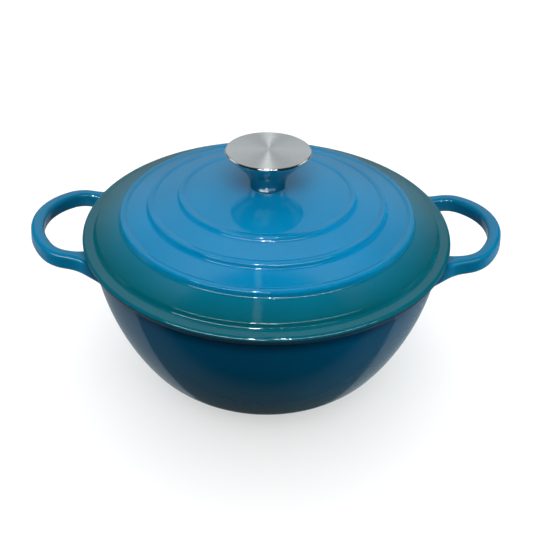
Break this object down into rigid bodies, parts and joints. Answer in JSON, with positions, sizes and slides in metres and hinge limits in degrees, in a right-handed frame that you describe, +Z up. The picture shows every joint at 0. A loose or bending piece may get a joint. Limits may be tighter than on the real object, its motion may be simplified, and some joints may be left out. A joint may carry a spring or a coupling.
{
  "type": "covered casserole dish",
  "caption": "Round enamelled cast-iron casserole with a stepped domed lid, a flared steel knob and loop handles; the lid lifts off.",
  "frame": {"origin": "centre of the flat base, on the surface the pot stands on", "axes": "+Z up through the knob, handles along +X and -X"},
  "size_m": [0.344, 0.264, 0.1713],
  "materials": {
    "enamel": "gloss blue enamel",
    "polished_steel": "polished",
    "brushed_steel": "circular brushed",
    "hardware": "bright zinc"
  },
  "bodies": {
    "pot": {"pot": "enamel"},
    "lid": {"lid": "enamel", "knob_shell": "polished_steel", "knob_cap": "brushed_steel", "knob_bush": "hardware", "knob_screw": "hardware", "lock_washer": "hardware", "flat_washer": "hardware"}
  },
  "joints": [
    {"name": "lid_lift", "type": "slide", "parent": "pot", "child": "lid", "axis": [0, 0, 1], "range_m": [0, 0.15]}
  ]
}
